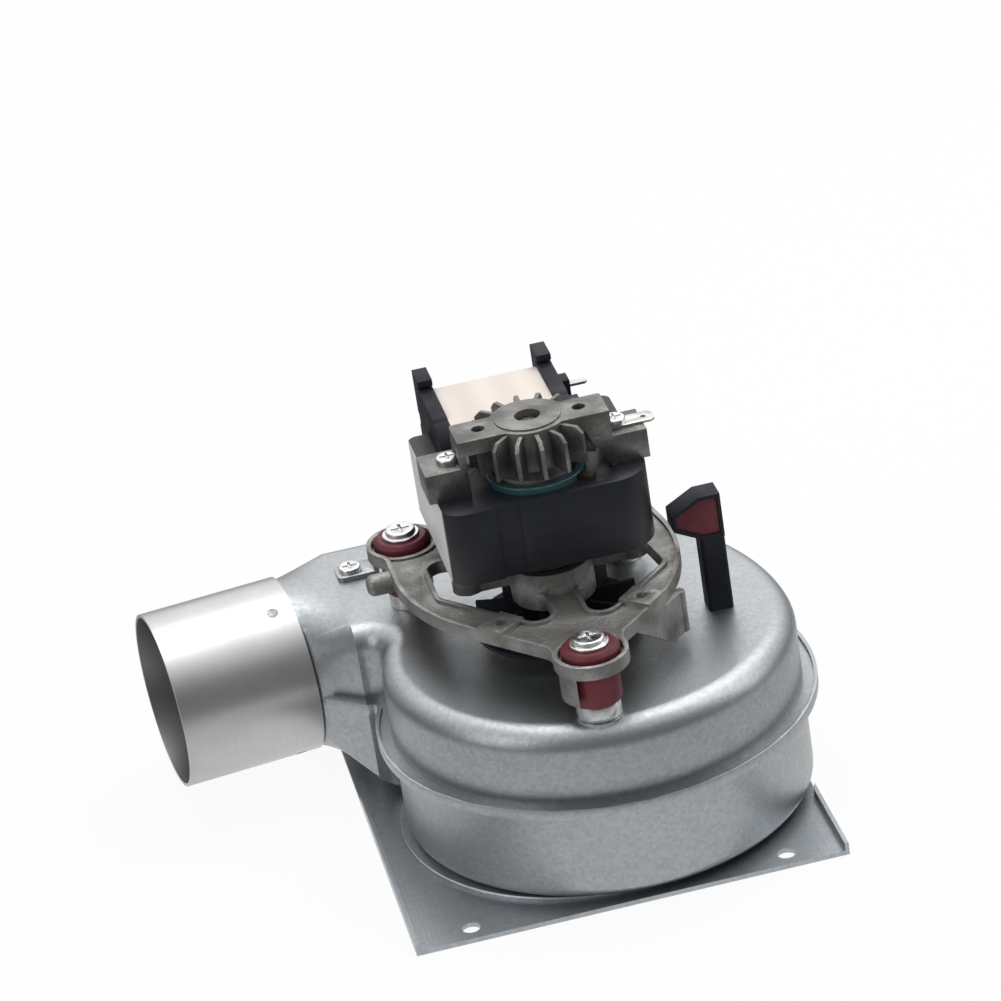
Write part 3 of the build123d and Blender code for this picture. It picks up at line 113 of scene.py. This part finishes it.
soft_lamp("ceiling_softbox", (0.25, 0.35, 1.15), (-14, 12, 0), (1.3, 1.0), 8.0)
soft_lamp("left_fill", (-1.1, -0.5, 0.6), (62, 0, -64), (0.7, 0.9), 3.2)
soft_lamp("right_strip", (1.0, -0.2, 0.55), (66, 0, 78), (0.35, 1.1), 2.4)

BRIGHT_SIDE = (0.15, 0.45, 0.9)   # the room is brightest this way: above and behind
world = bpy.data.worlds.new("studio_room")
scene.world = world
world.use_nodes = True
room = world.node_tree
room.nodes.clear()
room_rays = add_node(room, "LightPath")
direction = add_node(room, "TexCoord")
lean = add_node(room, "VectorMath", {0: direction.outputs["Generated"], 1: BRIGHT_SIDE},
                operation="DOT_PRODUCT")
room_tone = ranged(room, lean.outputs["Value"], (0.22, 0.80), (0.26, 1.5))
room_glow = maths(room, "MAXIMUM", room_tone, room_rays.outputs["Is Camera Ray"])
room_light = add_node(room, "Background", {"Color": (0.52, 0.53, 0.55, 1)})
room_seen = add_node(room, "Background", {"Color": room_glow})
backdrop(room, room_rays, 1.0, room_light, room_seen, "OutputWorld")

FLOOR_DROP = 0.0002   # metres, so that floor and plate don't share one plane
bpy.ops.object.select_all(action="DESELECT")
bpy.ops.mesh.primitive_plane_add(size=8.0, location=(0, 0, -FLOOR_DROP))
floor = bpy.context.object
floor.name = "studio_floor"
floor_paint = bpy.data.materials.new("pale_floor")
floor_paint.use_nodes = True
paint = floor_paint.node_tree
paint.nodes.clear()
floor_rays = add_node(paint, "LightPath")
floor_place = add_node(paint, "TexCoord")
floor_reach = add_node(paint, "VectorMath", {0: floor_place.outputs["Object"]}, operation="LENGTH")
floor_tone = ranged(paint, floor_reach.outputs["Value"], (0.10, 0.48), (0.95, 0.07))
floor_glow = maths(paint, "MAXIMUM", floor_tone, floor_rays.outputs["Is Camera Ray"])
floor_matt = add_node(paint, "BsdfDiffuse", {"Color": (0.86, 0.86, 0.87, 1)})
floor_white = add_node(paint, "Emission", {"Color": floor_glow})
backdrop(paint, floor_rays, 0.93, floor_matt, floor_white, "OutputMaterial")
floor.data.materials.append(floor_paint)

# Mounting plate: 1.5 mm galvanised sheet, its side edges turned up, a ring pressed up in it
# and the inlet rolled inwards. Satin zinc with faint spangle, rolling streaks and fine grain.
HOUSING = "motor_and_housing"
COLOUR_A, COLOUR_B, COLOUR_RESULT = 6, 7, 2   # a Mix node's own sockets for colours
MERGE_WITHIN = 0.000002   # metres between points that are one
FLAT_WITHIN = 0.6   # degrees between faces that are one flat
EDGE_RINGS = 2   # rows of faces round a softened edge


def new_skin(name, colours, values):
    """Empty skin: a place, colours and values go in; colour, roughness and height come out."""
    group = bpy.data.node_groups.new(name, "ShaderNodeTree")
    sockets = [("Vector", "INPUT", "Vector")]
    sockets += [(colour, "INPUT", "Color") for colour in colours]
    sockets += [(value, "INPUT", "Float") for value in values]
    sockets += [("Color", "OUTPUT", "Color"), ("Roughness", "OUTPUT", "Float"),
                ("Height", "OUTPUT", "Float")]
    for socket, way, kind in sockets:
        group.interface.new_socket(socket, in_out=way, socket_type="NodeSocket" + kind)
    return group, group.nodes.new("NodeGroupInput").outputs


def close_skin(group, colour, roughness, height):
    """Joins a skin's results to its outputs."""
    end = group.nodes.new("NodeGroupOutput")
    for socket, result in (("Color", colour), ("Roughness", roughness), ("Height", height)):
        group.links.new(result, end.inputs[socket])
    return group


def stretched(group, place, scale):
    """Place drawn out along the axes."""
    return add_node(group, "Mapping", {"Vector": place, "Scale": scale}).outputs[0]


def noise(group, place, scale, detail, distortion=0.0):
    """Value of a noise pattern at a place."""
    feeds = {"Vector": place, "Scale": scale, "Detail": detail, "Distortion": distortion}
    return add_node(group, "TexNoise", feeds).outputs["Fac"]


def mixed(group, amount, first, second):
    """Two values mixed by an amount."""
    return add_node(group, "Mix", {"Factor": amount, "A": first, "B": second}).outputs["Result"]


def tinted(group, amount, dark, light):
    """Two colours mixed by an amount."""
    feeds = {"Factor": amount, COLOUR_A: dark, COLOUR_B: light}
    return add_node(group, "Mix", feeds, data_type="RGBA").outputs[COLOUR_RESULT]


def zinc_skin_group():
    """Galvanised sheet: cloudy spangle, fine streaks along the rolling direction, fine grain."""
    group, given = new_skin("zinc_skin", ("Light", "Dark"), ("Spangle", "Streak"))
    place = given["Vector"]
    spangle = add_node(group, "TexVoronoi", {"Vector": place, "Scale": 900.0})
    flakes = add_node(group, "SeparateColor", {0: spangle.outputs["Color"]})
    cloud = noise(group, place, 22.0, 5.0)
    streak = noise(group, stretched(group, place, (900.0, 30.0, 30.0)), 1.0, 3.0)
    grain = noise(group, place, 1500.0, 2.0)
    base = mixed(group, given["Spangle"], cloud, flakes.outputs[0])
    lined = mixed(group, given["Streak"], base, streak)
    colour = tinted(group, ranged(group, lined, (0.25, 0.75)), given["Dark"], given["Light"])
    roughness = ranged(group, lined, after=(0.46, 0.33))
    return close_skin(group, colour, roughness, maths(group, "ADD", grain, streak))


zinc_skin = zinc_skin_group()


def skinned(name, group, values, bump, metallic, turn=(0, 0, 0), specular=0.5):
    """Material whose colour, roughness and bump come from one of the skin groups.

    The bump is its strength and its depth in metres; the turn is in degrees.
    """
    material = bpy.data.materials.new(name)
    material.use_nodes = True
    tree = material.node_tree
    shader = tree.nodes["Principled BSDF"]
    shader.inputs["Metallic"].default_value = metallic
    shader.inputs["Specular IOR Level"].default_value = specular
    place = add_node(tree, "TexCoord").outputs["Object"]
    turned = add_node(tree, "Mapping", {"Vector": place, "Rotation": [radians(a) for a in turn]})
    skin = add_node(tree, "Group", {"Vector": turned.outputs[0], **values}, node_tree=group)
    strength, depth = bump
    relief = add_node(tree, "Bump", {"Strength": strength, "Distance": depth,
                                     "Height": skin.outputs["Height"]})
    tree.links.new(skin.outputs["Color"], shader.inputs["Base Color"])
    tree.links.new(skin.outputs["Roughness"], shader.inputs["Roughness"])
    tree.links.new(relief.outputs[0], shader.inputs["Normal"])
    return material


def dressed_copy(node, name, material, crease=32, soften=0.0):
    """A merged copy of a solid with smooth faces and, where asked, softened edges."""
    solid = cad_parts[node]
    piece = solid.copy()
    piece.data = solid.data.copy()
    piece.name = name
    for key in list(piece.keys()):
        del piece[key]
    piece.parent = None
    bpy.context.collection.objects.link(piece)
    bpy.ops.object.select_all(action="DESELECT")
    piece.select_set(True)
    bpy.context.view_layer.objects.active = piece
    if piece.data.has_custom_normals:
        bpy.ops.mesh.customdata_custom_splitnormals_clear()
    bpy.ops.object.mode_set(mode="EDIT")
    bpy.ops.mesh.select_all(action="SELECT")
    bpy.ops.mesh.remove_doubles(threshold=MERGE_WITHIN)
    if soften:
        bpy.ops.mesh.dissolve_limited(angle_limit=radians(FLAT_WITHIN))
    bpy.ops.object.mode_set(mode="OBJECT")
    if soften:
        edge = piece.modifiers.new("soft_edges", "BEVEL")
        edge.width = soften
        edge.segments = EDGE_RINGS
        edge.limit_method = "ANGLE"
        edge.angle_limit = radians(crease)
        edge.use_clamp_overlap = True
        bpy.ops.object.modifier_apply(modifier=edge.name)
    bpy.ops.object.shade_smooth_by_angle(angle=radians(crease))
    piece.data.materials.clear()
    piece.data.materials.append(material)
    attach(piece, HOUSING)
    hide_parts(node)
    return piece


def coat(node, material):
    """Gives a carried-over solid its finish."""
    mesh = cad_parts[node].data
    mesh.materials.clear()
    mesh.materials.append(material)


plate_zinc = skinned("plate_zinc", zinc_skin,
                     {"Light": (0.43, 0.455, 0.475, 1), "Dark": (0.34, 0.362, 0.382, 1),
                      "Spangle": 0.40, "Streak": 0.12}, bump=(0.10, 0.0004), metallic=0.97)
plate = dressed_copy("mounting_plate", "plate_sheet", plate_zinc)

# Housing halves: 1 mm galvanised sheet drawn into a scroll and its neck. The lower half's
# edge is crimped up round the upper half's flange.
housing_zinc = skinned("housing_zinc", zinc_skin,
                       {"Light": (0.385, 0.402, 0.415, 1), "Dark": (0.315, 0.332, 0.345, 1),
                        "Spangle": 0.40, "Streak": 0.08}, bump=(0.12, 0.0004), metallic=0.97,
                       turn=(0, 0, 35))
lower = dressed_copy("lower_shell", "lower_half", housing_zinc, crease=36, soften=0.00025)
upper = dressed_copy("upper_shell", "upper_half", housing_zinc, crease=36)

# Outlet pipe: thin aluminium tube brushed round its axis, pushed over the neck and riveted.
# Handling left short scratches and dull clouds in the satin face.


def brushed_skin_group():
    """Brushed tube: faint lines round the X axis, short curled scratches and dull clouds."""
    group, given = new_skin("brushed_skin", ("Light", "Dark"), ())
    place = given["Vector"]
    brush = noise(group, stretched(group, place, (2200.0, 90.0, 90.0)), 1.0, 4.0)
    cloud = noise(group, place, 34.0, 6.0)
    curl = noise(group, place, 95.0, 2.0, distortion=2.4)
    scratches = ranged(group, maths(group, "PINGPONG", curl, 0.06), (0.005, 0.0), (0.0, 0.35))
    tone = ranged(group, mixed(group, 0.22, cloud, brush), (0.3, 0.7))
    marked = maths(group, "SUBTRACT", tone, scratches)
    colour = tinted(group, marked, given["Dark"], given["Light"])
    roughness = ranged(group, cloud, after=(0.42, 0.29))
    return close_skin(group, colour, roughness, maths(group, "SUBTRACT", brush, scratches))


pipe_satin = skinned("pipe_satin", brushed_skin_group(),
                     {"Light": (0.53, 0.53, 0.53, 1), "Dark": (0.41, 0.41, 0.41, 1)},
                     bump=(0.05, 0.0002), metallic=1.0)
pipe = dressed_copy("outlet_pipe", "pipe_tube", pipe_satin)

# Small fixings: zinc-plated screws, nuts and sleeves, turned or pressed from steel, and the
# duller rivets of the pipe. Each finish is one skin of clouds and grain with its own colours.


def clouded_skin_group():
    """Any even finish: soft clouds, fine grain, small darker specks."""
    group, given = new_skin("clouded_skin", ("Light", "Dark"),
                            ("Cloud", "Grain", "Speck", "Smooth", "Dull"))
    cloud = noise(group, given["Vector"], given["Cloud"], 5.0)
    grain = noise(group, given["Vector"], given["Grain"], 3.0)
    specks = maths(group, "MULTIPLY", ranged(group, grain, (0.62, 0.72)), given["Speck"])
    marked = maths(group, "SUBTRACT", ranged(group, cloud, (0.35, 0.65)), specks, use_clamp=True)
    colour = tinted(group, marked, given["Dark"], given["Light"])
    roughness = ranged(group, marked, after=(given["Dull"], given["Smooth"]))
    return close_skin(group, colour, roughness, maths(group, "ADD", cloud, grain))


clouded_skin = clouded_skin_group()


def clouded(name, light, dark, sizes, gloss, bump, metallic, speck=0.5, specular=0.5):
    """Material from the clouded skin: sizes of clouds and grain, smooth and dull roughness."""
    values = {"Light": (*light, 1), "Dark": (*dark, 1), "Cloud": sizes[0], "Grain": sizes[1],
              "Speck": speck, "Smooth": gloss[0], "Dull": gloss[1]}
    return skinned(name, clouded_skin, values, bump, metallic, specular=specular)


bright_zinc = clouded("bright_zinc", light=(0.78, 0.78, 0.77), dark=(0.52, 0.52, 0.52),
                      sizes=(240, 1400), gloss=(0.20, 0.38), bump=(0.10, 0.0002), metallic=1.0)
dull_zinc = clouded("dull_zinc", light=(0.50, 0.51, 0.52), dark=(0.34, 0.35, 0.36),
                    sizes=(160, 1200), gloss=(0.34, 0.5), bump=(0.12, 0.0002), metallic=1.0)
rivet_face = clouded("rivet_face", light=(0.27, 0.27, 0.28), dark=(0.12, 0.12, 0.13),
                     sizes=(400, 2000), gloss=(0.35, 0.55), bump=(0.15, 0.0002), metallic=1.0)
coat("pipe_rivets", rivet_face)
coat("plate_screws", bright_zinc)
coat("weld_nuts", dull_zinc)
screws = dressed_copy("mount_screws", "buffer_screws", bright_zinc, soften=0.00012)
stack_screws = dressed_copy("motor_screws", "stack_screws", bright_zinc, soften=0.0001)
sleeves = dressed_copy("grommet_spacers", "buffer_sleeves", bright_zinc, soften=0.0003)

# Wheel: sheet-steel disc, ring and 42 curved blades, all black coated, on a turned hub with
# its set screw. Dust has dulled the coating a little.
wheel_black = clouded("wheel_black", light=(0.030, 0.031, 0.034), dark=(0.016, 0.017, 0.019),
                      sizes=(70, 900), gloss=(0.34, 0.55), bump=(0.20, 0.0003), metallic=0.0)
turned_steel = clouded("turned_steel", light=(0.60, 0.60, 0.60), dark=(0.42, 0.42, 0.43),
                       sizes=(120, 1600), gloss=(0.24, 0.4), bump=(0.08, 0.0002), metallic=1.0)
black_oxide = clouded("black_oxide", light=(0.05, 0.05, 0.055), dark=(0.02, 0.02, 0.022),
                      sizes=(300, 1500), gloss=(0.3, 0.5), bump=(0.1, 0.0002), metallic=0.6)
coat("impeller_blades", wheel_black)
coat("impeller_disc", wheel_black)
coat("impeller_ring", wheel_black)
coat("impeller_hub", turned_steel)
coat("hub_grub_screw", black_oxide)

# Shaft, rotor and bearings: ground shaft, rotor of steel sheets with cast end rings, sintered
# bronze bearings in oiled felt, held by thin spring discs and fibre washers.
ground_steel = clouded("ground_steel", light=(0.70, 0.70, 0.71), dark=(0.52, 0.52, 0.53),
                       sizes=(90, 2200), gloss=(0.16, 0.3), bump=(0.05, 0.0002), metallic=1.0)
cast_aluminium = clouded("cast_aluminium", light=(0.60, 0.60, 0.59), dark=(0.44, 0.44, 0.43),
                         sizes=(110, 900), gloss=(0.4, 0.6), bump=(0.2, 0.0003), metallic=1.0)
bronze = clouded("sintered_bronze", light=(0.42, 0.27, 0.13), dark=(0.22, 0.14, 0.07),
                 sizes=(260, 2400), gloss=(0.38, 0.55), bump=(0.2, 0.0002), metallic=1.0)
felt = clouded("oiled_felt", light=(0.42, 0.36, 0.24), dark=(0.22, 0.18, 0.11),
               sizes=(180, 1800), gloss=(0.9, 0.95), bump=(0.8, 0.0006), metallic=0.0)
fibre = clouded("fibre_washer", light=(0.30, 0.17, 0.08), dark=(0.17, 0.09, 0.04),
                sizes=(200, 1500), gloss=(0.6, 0.8), bump=(0.3, 0.0003), metallic=0.0)
coat("rotor_shaft", ground_steel)
coat("rotor_end_rings", cast_aluminium)
coat("lower_bearing", bronze)
coat("upper_bearing", bronze)
coat("felt_rings", felt)
coat("thrust_washers", fibre)
coat("bearing_retainers", ground_steel)

# Cooling disc: black moulded plastic with radial vanes, pressed on the shaft under the motor.
# The same dull black plastic serves for the bobbin and the tapping post.
moulded_black = clouded("moulded_black", light=(0.016, 0.018, 0.024), dark=(0.009, 0.010, 0.014),
                        sizes=(60, 1300), gloss=(0.52, 0.70), bump=(0.25, 0.0003), metallic=0.0,
                        specular=0.22)
coat("cooling_fan", moulded_black)

# Motor frame: stamped sheets stacked along Z under black lacquer, so fine lines run round its
# sides. The left face is painted light grey as a painted reflection; the rotor's sheets are bare.


def sheet_skin_group():
    """Stack of sheets: lines along Z, lacquer clouds, and a painted reflection on one face in X."""
    group, given = new_skin("sheet_skin", ("Light", "Dark", "Painted Sheen"), ("Sheen From", "Sheen To"))
    place = given["Vector"]
    across = add_node(group, "SeparateXYZ", {0: place}).outputs["X"]
    sheets = noise(group, stretched(group, place, (24.0, 24.0, 1900.0)), 1.0, 2.0)
    cloud = noise(group, place, 90.0, 6.0)
    both = mixed(group, 0.5, cloud, sheets)
    lacquered = tinted(group, ranged(group, both, (0.35, 0.65)), given["Dark"], given["Light"])
    # Mask of the left face, where light grey paint stands in for its bright grazing reflection.
    painted_sheen = ranged(group, across, (given["Sheen From"], given["Sheen To"]), (1.0, 0.0))
    colour = tinted(group, painted_sheen, lacquered, given["Painted Sheen"])
    return close_skin(group, colour, ranged(group, cloud, after=(0.55, 0.36)), both)


sheet_skin = sheet_skin_group()
frame_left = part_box("stator_stack")[0][0]
LACQUER_STARTS, LACQUER_FULL = 0.0001, 0.0004   # metres in from the left face that carries the painted reflection
# The light grey on the frame's left face is a painted reflection: its grazing sheen laid in as colour.
lacquer = skinned("black_lacquer", sheet_skin,
                  {"Light": (0.013, 0.015, 0.019, 1), "Dark": (0.007, 0.008, 0.011, 1),
                   "Painted Sheen": (0.56, 0.56, 0.55, 1), "Sheen From": frame_left + LACQUER_STARTS,
                   "Sheen To": frame_left + LACQUER_FULL}, bump=(0.14, 0.0003), metallic=0.0,
                  specular=0.38)
FAR_LEFT = -10.0   # metres, outside the fan, so the rotor keeps one colour all round
bare_sheets = skinned("bare_sheets", sheet_skin,
                      {"Light": (0.40, 0.40, 0.41, 1), "Dark": (0.22, 0.22, 0.23, 1),
                       "Painted Sheen": (0.40, 0.40, 0.41, 1), "Sheen From": FAR_LEFT, "Sheen To": FAR_LEFT + 1},
                      bump=(0.4, 0.0003), metallic=1.0)
stack = dressed_copy("stator_stack", "stack_sheets", lacquer, soften=0.00025)
coat("rotor_core", bare_sheets)

# Shading loops of copper bar, dipped with the frame so that lacquer darkens them, and the teal
# insulation ring round the rotor's bore.
dipped_copper = clouded("dipped_copper", light=(0.050, 0.028, 0.020), dark=(0.020, 0.014, 0.012),
                        sizes=(140, 1500), gloss=(0.34, 0.55), bump=(0.15, 0.0003), metallic=0.5)
teal = clouded("teal_ring", light=(0.030, 0.082, 0.090), dark=(0.019, 0.056, 0.063),
               sizes=(90, 1200), gloss=(0.22, 0.36), bump=(0.08, 0.0002), metallic=0.0)
coat("shading_rings", dipped_copper)
coat("insulation_ring", teal)

# Coil: enamelled copper wire under cream woven tape, on a black moulded bobbin whose ears hook
# over the ends. The tape's turns overlap in faint lines round the coil.


def wound_skin_group():
    """Turns laid side by side along X with clouds: wire or tape, by the turn count."""
    group, given = new_skin("wound_skin", ("Light", "Dark"), ("Turns", "Weave", "Smooth", "Dull"))
    place = given["Vector"]
    turns = add_node(group, "TexWave", {"Vector": place, "Scale": given["Turns"],
                                        "Distortion": 0.6, "Detail": 2.0}, bands_direction="X")
    weave = noise(group, place, given["Weave"], 4.0)
    both = mixed(group, 0.4, turns.outputs["Fac"], weave)
    colour = tinted(group, both, given["Dark"], given["Light"])
    return close_skin(group, colour, ranged(group, weave, after=(given["Dull"], given["Smooth"])), both)


wound_skin = wound_skin_group()
woven_tape = skinned("woven_tape", wound_skin,
                     {"Light": (0.86, 0.78, 0.71, 1), "Dark": (0.76, 0.66, 0.58, 1), "Turns": 26.0,
                      "Weave": 700.0, "Smooth": 0.55, "Dull": 0.8}, bump=(0.25, 0.0004), metallic=0.0)
enamelled_wire = skinned("enamelled_wire", wound_skin,
                         {"Light": (0.55, 0.20, 0.07, 1), "Dark": (0.20, 0.06, 0.02, 1),
                          "Turns": 420.0, "Weave": 300.0, "Smooth": 0.2, "Dull": 0.4},
                         bump=(0.6, 0.0003), metallic=0.9)
coat("coil_winding", enamelled_wire)
tape = dressed_copy("coil_tape", "tape_wrap", woven_tape, soften=0.0003)
bobbin = dressed_copy("coil_bobbin", "bobbin", moulded_black, soften=0.0003)
tinned = clouded("tinned", light=(0.62, 0.61, 0.57), dark=(0.46, 0.45, 0.42), sizes=(150, 1100),
                 gloss=(0.3, 0.48), bump=(0.12, 0.0002), metallic=1.0)
coat("coil_terminals", tinned)

# Upper bracket: die-cast bearing bridge with cooling fins, screwed down on the frame by its
# two feet. Casting left a grainy grey skin with small darker specks.
upper_cast = clouded("upper_cast", light=(0.22, 0.216, 0.208), dark=(0.12, 0.118, 0.113),
                     sizes=(120, 1050), gloss=(0.40, 0.60), bump=(0.45, 0.0004), metallic=0.9,
                     speck=0.8)
bridge = dressed_copy("upper_bracket", "bearing_bridge", upper_cast, soften=0.0002)

# Earth blade: tinned sheet for a push-on connector, forked and held under the right motor
# screw.
blade = dressed_copy("earth_tab", "earth_tab_sheet", tinned, soften=0.0001)

# Lower bracket: die-cast spider with raised edges, three buffer lugs, pads and a small stub.
# The same grainy casting as the bridge, slightly browner and duller.
lower_cast = clouded("lower_cast", light=(0.31, 0.305, 0.293), dark=(0.19, 0.187, 0.179),
                     sizes=(100, 950), gloss=(0.42, 0.64), bump=(0.5, 0.0004), metallic=0.9,
                     speck=0.8)
spider = dressed_copy("lower_bracket", "spider", lower_cast, soften=0.00025)

# Buffers: dark red silicone, dusty and slightly glossy, buttoned into the spider's lugs
# round the steel sleeves.
silicone = clouded("dark_silicone", light=(0.140, 0.018, 0.028), dark=(0.085, 0.011, 0.017),
                   sizes=(110, 900), gloss=(0.38, 0.56), bump=(0.25, 0.0003), metallic=0.0,
                   specular=0.35)
buffers = dressed_copy("grommets", "buffers", silicone, soften=0.0002)

# Tapping post: hollow black moulding that stands on the housing. Its open head is filled with
# the same silicone as the buffers.
post = dressed_copy("tap_post", "post", moulded_black, soften=0.0004)
coat("tap_plug", silicone)

# Clip by the left lug: a small tab bent from galvanised sheet, held on the housing by a
# washer-head screw.
clip = dressed_copy("clip_tab", "clip", housing_zinc, soften=0.00015)
clip_fix = dressed_copy("clip_screw", "clip_fixing", bright_zinc, soften=0.0001)
